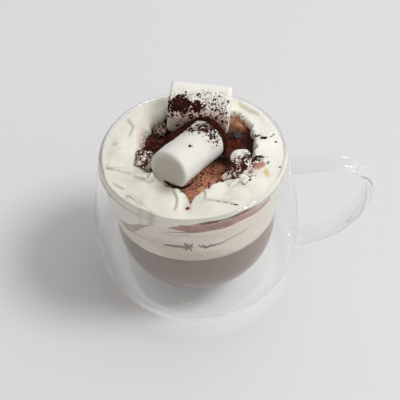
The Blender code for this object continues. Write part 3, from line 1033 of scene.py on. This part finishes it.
def stage_floor():
    """A plain pale table top, wide enough for every view."""
    plane = bpy.ops.mesh.primitive_plane_add
    floor = new_shape("table_top", plane, size=FLOOR_SIZE, location=(0, 0, -0.1 * MM))
    # A matt painted board: even and pale, with the faintest clouding, so that the cup's shadow reads.
    made, tree = new_finish("matt_painted_board")
    place = node(tree, "TexCoord").outputs["Object"]
    cloud = node(tree, "TexNoise", {"Vector": place, "Scale": 3, "Detail": 2})
    shade = blended(tree, cloud.outputs[0], rgba("#E2E2E3"), rgba("#E5E5E6"))
    # A paler patch stands in for the light that the cup's glass gathers inside its foot.
    away = node(tree, "VectorMath", {0: place}, operation="LENGTH").outputs["Value"]
    shade = blended(tree, ranged(tree, away, 0.045, 0.033, 0.0, 0.8), shade, rgba("#FDFDFC"))
    shader = node(tree, "BsdfPrincipled", {"Base Color": shade, "Roughness": 0.6})
    node(tree, "OutputMaterial", {"Surface": shader.outputs[0]})
    floor.data.materials.append(made)


def lights_and_camera():
    """Soft daylight: a pale surround and one broad lamp from the right, and the camera."""
    world = bpy.data.worlds.new("pale_room")
    bpy.context.scene.world = world
    world.use_nodes = True
    tree = world.node_tree
    look = node(tree, "TexCoord").outputs["Generated"]
    up = node(tree, "SeparateXYZ", {0: look}).outputs["Z"]
    walls = ranged(tree, up, 0.05, 0.75, *SURROUND)
    for direction, narrowness, strength in SURROUND_GLOWS:
        facing = node(tree, "VectorMath", {0: look, 1: direction}, operation="DOT_PRODUCT")
        near = maths(tree, "MAXIMUM", facing.outputs["Value"], 0.0)
        glow = maths(tree, "POWER", near, narrowness)
        walls = maths(tree, "MULTIPLY_ADD", glow, strength, walls)
    sky = tree.nodes["Background"]
    sky.inputs[0].default_value = rgba("#FBF9F6")
    tree.links.new(walls, sky.inputs[1])

    towards = Vector(LAMP_TOWARDS).normalized()
    lamp = bpy.data.lights.new("window_lamp", "AREA")
    lamp.shape = "DISK"
    lamp.size = LAMP_SIZE
    lamp.energy = LAMP_POWER
    lamp.color = linear("#FBFCFF")
    holder = bpy.data.objects.new("window_lamp", lamp)
    holder.location = Vector((0, 0, 0.05)) + towards * LAMP_DISTANCE
    holder.rotation_euler = (-towards).to_track_quat("-Z", "Y").to_euler()
    bpy.context.scene.collection.objects.link(holder)

    camera = bpy.data.objects.new("camera", bpy.data.cameras.new("camera"))
    bpy.context.scene.collection.objects.link(camera)
    place = Vector(CAMERA_PLACE)
    level = (Vector(CAMERA_AIM) - place).to_track_quat("-Z", "Y").to_matrix().to_4x4()
    roll = Matrix.Rotation(math.radians(CAMERA_ROLL), 4, "Z")
    camera.matrix_world = Matrix.Translation(place) @ level @ roll
    camera.data.lens = CAMERA_LENS
    camera.data.sensor_width = 36
    bpy.context.scene.camera = camera
    bpy.context.scene.view_settings.view_transform = "Standard"
    bpy.context.scene.view_settings.look = "None"


stage_floor()
lights_and_camera()

glass = cup_glass()
dress(glass_piece(), glass, "glass", "glass_cup")
plug_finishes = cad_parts["seal_plug"].data.materials
plug_finishes.clear()
plug_finishes.append(glass)

# Milky chocolate: an even grey-brown with a soft gloss where it touches the glass
milk = painted_food("milky_hot_chocolate", 0.4, mottle=0.05)
dress(drink_piece(), milk, "drink", "hot_chocolate")

# Milk froth: pale, dull and faintly clouded, with brown milk showing through
froth = painted_food("milk_froth", 0.6, mottle=0.05)
foam = foam_piece()
paint(foam, "#E2D6C7", (
    ((-12, -36, 55), (13, 9, 6), "#C9B6A5", 0.75),
    ((-1, -37, 50), (16, 8, 3.6), "#BFAC9B", 0.8),
    ((5, -38, 64), (10, 6, 3.5), "#D2C2B4", 0.6),
    ((-9, -38, 66), (9, 5, 1.4), "#B5A493", 0.5),
    ((-20, -33, 60), (8, 6, 1.2), "#C2B3A3", 0.5),
    ((0, 0, 46.4), (60, 60, 1.5), "#A08E80", 0.75),
    ((-26, -27, 52), (8, 8, 6), "#D8CBBE", 0.6),
), wobble=1.5)
dress(foam, froth, "milk_foam", "lower_cream")

spots = []  # where loose cocoa lies

POOL_FLECKS = (
    ((1.75, 1.6, 1.5), 0.9, 0.60), ((0.75, 0.95, 0.55), 1.4, 0.58), ((0.45, 0.35, 0.32), 0.8, 0.58),
)
# Wet cocoa: grainy and mottled, from red brown to nearly black, with almost no gloss
wet = painted_food(
    "wet_cocoa", 0.4, grain=0.5, relief=0.8, mottle=0.3, powder=True, shine=0.1, flecks=POOL_FLECKS,
)
layer = layer_piece()
paint(layer, "#4A2016", (
    ((2, -17, 73.6), (13, 14, 9), "#B87E68", 0.95, 6),
    ((12, -9.5, 73.6), (5, 5, 9), "#96604C", 0.9, 5),
    ((23, 26, 73.6), (6, 5.5, 9), "#C4967A", 0.9, 4),
    ((21, 20, 73.6), (6, 3.5, 9), "#75523A", 0.7, 4),
    ((-20, 10, 73.6), (9, 16, 9), "#67412E", 0.9),
    ((17, 7, 73.6), (8, 6, 9), "#53200F", 0.95, 4),
    ((12, 2, 73.6), (4, 4.5, 9), "#1C0D0A", 0.95, 4),
    ((26, 10, 73.6), (2.6, 7, 9), "#200B07", 0.9, 4),
    ((15, 14, 73.6), (3.5, 2.5, 9), "#2A1009", 0.8, 4),
    ((4, -19, 73.6), (2.5, 3, 9), "#C79A72", 0.6),
    ((9, -14, 73.6), (2.5, 2, 9), "#C08E74", 0.6),
), wobble=2.2)
points = points_of(layer)
at_wall = np.hypot(points[:, 0], points[:, 1]) > WALL_START
turned_to = np.degrees(np.arctan2(points[:, 1], points[:, 0])) % 360
pale = np.clip((turned_to - 285) / 40, 0, 1) + ease((250 - turned_to) / 20)
amber = ease((points[:, 2] - 73.9) / 1.2) * np.clip(bumps(turned_to, [(279, 20, 1.1)]), 0, 0.95)
band = np.outer(1 - pale, linear("#A06F61")) + np.outer(pale, linear("#B59888"))
band = band * (1 - amber[:, None]) + np.outer(amber, linear("#6F4F34"))
put_tint(layer, np.where(at_wall[:, None], band, tint_of(layer)))
cover = dust(layer, (
    ((-19, 8, 73.6), (9, 15, 9), 0.51), ((4, -12, 73.6), (14, 14, 9), 0.27),
    ((17, 10, 73.6), (9, 9, 9), 0.26),
))
cover[at_wall] = 0
layer.data.attributes["cocoa"].data.foreach_set("value", cover)
spots += dusted_spots(layer, cover, 560, (0.35, 1.2), 71, is_spun=True)
dress(layer, wet, "cocoa", "chocolate_layer")

# Whipped cream: soft and waxy, as light soaks in, with cocoa specks where powder fell
whipped = painted_food(
    "whipped_cream", 0.5, soak=0.25, soak_depth=3, grain=0.6, relief=0.12, powder=True, mottle=0.02,
    shine=0.35,
)
cream = cream_piece()
paint(cream, "#E6E4D8", (
    # Painted light: the first three patches make the cream paler on the right, the left and at the back, to
    # lift it where less light falls.
    ((32, 6, 78), (14, 26, 9), "#F6F4EC", 0.9), ((-31, 9, 78), (9, 16, 9), "#F3F0E4", 0.8),
    ((-18, 30, 78), (14, 9, 9), "#EDE9DA", 0.9),
    ((24.0, 24.5, 73.8), (8.6, 7.2, 2.0), "#C89E80", 0.75, 4),
    ((28.3, -10.8, 78), (2.4, 2.8, 9), "#A56549", 0.95, 8),
    ((30.4, -9.9, 78), (2.1, 2.2, 9), "#B87C64", 0.95, 8),
    ((28.5, -15.4, 78), (5.5, 3.4, 9), "#EAD6C8", 0.6),
    ((32.8, -15.2, 78), (1.5, 3.2, 9), "#D2BE84", 0.85, 5),
    # Painted shadow: a darker patch where the front marshmallow shades the cream, and a grey one beside the
    # folded flap.
    ((-12.5, -20, 78), (6.5, 4, 9), "#ADA78C", 0.7),
    ((-24.0, -16.4, 78), (4.5, 1.6, 9), "#C3BFAF", 0.7),
    ((-22.5, 12, 77), (2.6, 11, 9), "#BC9F88", 0.4),
    # Painted light: a near-white patch lifts the cream where the back marshmallow shades it.
    ((-17, 28, 77), (6, 6, 9), "#FFFBEF", 0.85),
    ((25.5, -14.0, 78), (1.4, 2.5, 9), "#8A6A5A", 0.5),
    # Painted shade: grey marks at the left of the cream, two of them along its folds.
    ((-34.8, 8.8, 78), (1.4, 1.8, 4), "#B9B5A6", 0.6),
    ((-33, 4.8, 78), (1.2, 1.0, 4), "#B9B5A6", 0.5),
    ((-36, -6.2, 78), (5.5, 0.8, 4), "#BDB9AB", 0.6),
    ((-24, -30, 78), (1.6, 5.5, 4), "#C2BEAE", 0.5),
    ((-3.6, -34.2, 78), (1.7, 1.7, 4), "#D9A79B", 0.7),
    ((11, -32, 78), (8, 0.9, 4), "#C9C2B3", 0.6),
), wobble=0.8)
# Painted shade: the cream's tint is darkened and greyed down in its folds.
folds = fold_shade(points_of(cream), CREASES)[:, None]
put_tint(cream, tint_of(cream) * (1 - folds * np.array([0.30, 0.31, 0.38])))
cover = dust(cream, (
    ((-21.5, 17, 75), (2.2, 9, 3), 0.36), ((-24.5, 0, 75), (2.5, 6, 4), 0.35),
    ((24, 26, 75), (6, 4, 2.5), 0.33), ((25, -9, 77), (3.5, 7, 5), 0.45),
    ((25, -15.5, 79), (3.2, 3.5, 9), 0.38), ((29, -5.6, 79), (3.6, 1.2, 9), 0.75),
    ((-22.5, -8.5, 75), (4, 3, 3), 0.5),
))
spots += dusted_spots(cream, cover, 260, (0.3, 0.9), 72, is_spun=True)
dress(cream, whipped, "whipped_cream", "top_cream")

# Marshmallow: dry, white and even, with speckled cocoa dust that thins out to pinkish brown flecks
sugar = painted_food(
    "marshmallow_sugar", 0.75, soak=0.2, soak_depth=2.5, grain=0.35, relief=0.12, powder=True,
    mottle=0.015, shine=0.2, flecks=(((0.50, 0.35, 0.29), 0.7, 0.57),),
)
front = marshmallow_piece("soft_marshmallow_front", FRONT_MARSHMALLOW, 31)
# Painted shade: the near end, turned from the lamp, is painted a darker grey.
paint(front, "#DCDAD4", (((-10.9, -17.8, 84.3), (8.7, 8.7, 8.7), "#C1BBAA", 0.85, 10),))
cover = dust(front, (
    ((1, 3.2, 91), (6.5, 4, 5), 0.52), ((7, 4.5, 90), (6, 5.5, 5), 0.62),
    ((9.5, 1.0, 88), (4, 4.5, 5), 0.5), ((-0.9, -9.5, 92.2), (1.0, 1.0, 2), 0.35),
))
spots += dusted_spots(front, cover, 230, (0.4, 1.5), 73)
dress(front, sugar, "marshmallow", "marshmallow_front")
# Caked cocoa: rough, dry and dark red brown with paler crumbs in it
crust_finish = painted_food(
    "caked_cocoa", 0.9, grain=0.6, relief=1.0, mottle=0.4, shine=0.08,
    flecks=(((2.1, 1.6, 1.4), 1.0, 0.58), ((0.4, 0.35, 0.35), 0.9, 0.56)),
)
crust = crust_piece()
paint(crust, "#36160E", (((-4, 8, 88), (9, 9, 6), "#28100A", 0.8),))
spots += dusted_spots(crust, np.where(points_of(crust)[:, 2] > 82, 1.0, 0.0), 500, (0.4, 1.2), 74)
dress(crust, crust_finish, "cocoa")
back = marshmallow_piece("soft_marshmallow_back", BACK_MARSHMALLOW, 41)
paint(back, "#EDEBE5", (
    ((2, 14, 84), (16, 6, 6.5), "#D2A896", 0.85, 4),
    ((-9, 17, 81), (3, 5, 5), "#F2E8DA", 0.9),
    ((14, 12.5, 83), (5, 4, 6), "#CFAA9A", 0.75),
), wobble=0.8)
cover = dust(back, (
    ((-4.0, 18.6, 91.4), (7.6, 6.4, 4.0), 0.83), ((-5.6, 19.2, 91.8), (4.4, 4.6, 3.4), 0.93),
    ((3.2, 17.4, 91.2), (4.4, 4.2, 3.0), 0.80), ((1, 15, 87), (11, 4, 5.0), 0.36),
    ((-7, 16.5, 84), (4, 4, 5), 0.25), ((11, 17.5, 91.8), (7.5, 5.5, 3.5), 0.40),
    ((15, 13.5, 89.5), (3.0, 3.5, 3), 0.50), ((14, 13.0, 85), (4.5, 3.5, 5), 0.29),
    ((-9.5, 20, 92), (2.2, 4, 3.5), 0.7), ((4, 22, 94), (9, 2.2, 2), 0.36),
))
spots += dusted_spots(back, cover, 390, (0.4, 1.4), 75)
dress(back, sugar, "marshmallow", "marshmallow_back")

LUMPS = {
    "cocoa_lump_left": ((-21.9, -1.4, 76.6), (4.5, 5.6, 4.4), 10),
    "cocoa_lump_back": ((-14.0, 18.8, 76.4), (3.2, 3.2, 3.0), 0),
    "cream_curl": ((19.4, -10.2, 76.8), (4.7, 8.8, 4.3), -32),
}
for number, (solid, (middle, halves, turn)) in enumerate(LUMPS.items()):
    lump = lump_piece("soft_" + solid, middle, halves, turn, 50 + number, rough=0.4)
    if solid == "cream_curl":
        paint(lump, "#EDEAE0", (((17, -14, 76), (7, 8, 9), "#D8BDB0", 0.7),))
        cover = dust(lump, (
            ((18.0, -12, 77), (5.5, 7.5, 9), 0.72), ((22.5, -12, 76), (2.8, 8, 9), 0.9),
            ((24.5, -6.5, 77), (3, 3, 9), 0.72), ((20.5, -5.5, 80), (4, 2, 9), 0.6),
        ))
    else:
        paint(lump, "#F0E2D6" if solid == "cocoa_lump_left" else "#AA9C86")
        low = (middle[0] - 1, middle[1] - 1, middle[2] - 3)
        cover = dust(lump, (
            (middle, (9, 9, 9), 0.6 if solid == "cocoa_lump_left" else 0.42),
            (low, (6, 6, 3.4), 1.0 if solid == "cocoa_lump_left" else 0.6),
        ))
    spots += dusted_spots(lump, cover, 150, (0.35, 1.1), 76 + number)
    dress(lump, sugar, "whipped_cream" if solid == "cream_curl" else "dusted_cream", solid)

cream_points = points_of(cream)
for row in CRUMB_LINES:
    spots += line_of_crumbs(cream_points, *row)
# A seam of cocoa where the front marshmallow rests on the cream
seam = smooth_curve((
    (-13.4, -17.3), (-11.6, -19.4), (-9.0, -21.4), (-5.9, -22.4), (-3.3, -21.8), (-0.6, -19.6),
), 8)
draw = random.Random(102)
for _ in range(150):
    along = draw.random()
    knot = seam[int(along * len(seam))]
    place = (knot.x + draw.gauss(0, 0.1), knot.y + draw.gauss(0, 0.1), 79.5 + draw.uniform(-0.6, 0.3))
    spots.append((place, (0, -0.7, 0.7), draw.uniform(0.4, 0.7) + 0.6 * math.sin(math.pi * along)))

crumbs = spread_grains("cocoa_crumbs", spots, 81)
paint(crumbs, "#2A100A")
# Loose cocoa crumbs: dry and nearly black, so that each reads as a speck
dress(crumbs, painted_food("cocoa_crumb", 0.9, grain=0.4, relief=0.5, mottle=0.3, shine=0.08), "cocoa")

streaks = wall_streaks("foam_streaks", (
    (((246, 57.1), (250, 57.5), (254, 57.5), (258, 57.7), (262, 57.5), (267, 57.9)), 1.7),
    (((260.8, 60.8), (262.2, 58.8), (263.8, 57.0), (265.8, 54.9)), 1.3),
    (((259.6, 55.8), (262.5, 57.4), (265.0, 58.8), (266.8, 60.0)), 1.3),
    (((261.6, 54.6), (262.6, 57.0), (263.2, 60.2)), 1.0),
    (((270.2, 59.4), (271.8, 57.4), (273.4, 58.3), (274.8, 56.2), (277.0, 57.7)), 1.0),
    ((
        (271.6, 57.3), (274.4, 57.6), (276.6, 56.8), (278.4, 57.9), (280.4, 57.1), (282.4, 57.8),
        (285.4, 57.6), (291, 59.2),
    ), 1.2),
    (((288, 58.4), (292, 59.2), (297.6, 60.1), (304, 60.8), (308, 61.6)), 0.4),
    (((250, 67.6), (256, 68.4), (262, 68.8), (268, 68.9), (274, 68.8)), 0.6),
    (((206, 52.5), (214, 55.2), (224, 56.6), (234, 56.8), (241, 56.5)), 0.35),
))
paint(streaks, "#716454")
# Folds of foam at the glass: dull grey brown strokes
dress(streaks, painted_food("foam_fold", 0.7, mottle=0.15), "milk_foam")

froth_bubbles = bubbles("pool_bubbles", (
    ((21.4, 14.9), 1.35, 62), ((11.2, 2.2), 1.6, 26), ((9.0, -1.2), 0.8, 8),
), 61)
paint(froth_bubbles, "#101219")
# Wet bubbles: dark and glossy, so that each catches a small light
dress(froth_bubbles, painted_food("wet_bubble", 0.08, relief=0.02, coat=0.6), "cocoa")

drop_place = (-3.6, -34.4, top_at(cream_points, -3.6, -34.4)[2] + 0.1)
drop = lump_piece("berry_dark_drop", drop_place, (0.9, 0.8, 0.45), 20, 66)
paint(drop, "#5E1712")
# A syrupy drop: dark red and glossy
dress(drop, painted_food("syrupy_cocoa_drop", 0.25, relief=0.05), "cocoa")

crescent = curled_edge_piece()
# Painted shade: a grey patch where the curled roll overhangs the cream under it.
paint(crescent, "#E9E7DF", (((21.9, -6.8, 79.0), (3.6, 1.6, 2.0), "#C4C1B2", 0.6),))
dust(crescent, (((25.5, -4.5, 78), (2.6, 3.6, 4), 0.7), ((21, -6.5, 78), (4, 2.2, 4), 0.6)))
dress(crescent, whipped, "whipped_cream")
